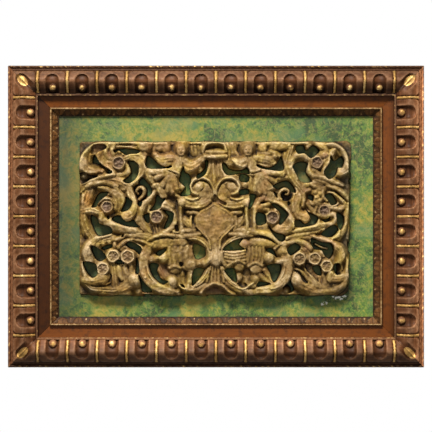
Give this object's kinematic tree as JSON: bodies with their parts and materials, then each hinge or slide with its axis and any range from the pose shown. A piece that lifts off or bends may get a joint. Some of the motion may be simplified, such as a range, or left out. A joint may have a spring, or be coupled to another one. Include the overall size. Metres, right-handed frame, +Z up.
{
  "type": "carved wooden frieze",
  "caption": "Framed openwork wood carving of scrolls, flowers, figures, crown and shield on a painted panel, made to hang flat on a wall.",
  "frame": {"origin": "centre of the back, on the wall plane", "axes": "+X to the right seen from the front, +Y into the wall, +Z up"},
  "size_m": [0.83, 0.0583, 0.602],
  "materials": {
    "stained_wood": "dark reddish stain, polished, with gilt touches on beads, ribs and corner leaves",
    "gilt_slip": "worn gilding over dark wood",
    "green_paint": "mottled green and ochre paint, matt",
    "worn_gilding": "old gilding and tan ground, rubbed on the high parts, dark brown in the hollows"
  },
  "bodies": {
    "root": {"frame_rail_top": "stained_wood", "frame_rail_right": "stained_wood", "frame_rail_bottom": "stained_wood", "frame_rail_left": "stained_wood", "slip_rail_top": "gilt_slip", "slip_rail_right": "gilt_slip", "slip_rail_bottom": "gilt_slip", "slip_rail_left": "gilt_slip", "backing_panel": "green_paint", "carved_relief": "worn_gilding"}
  },
  "joints": []
}
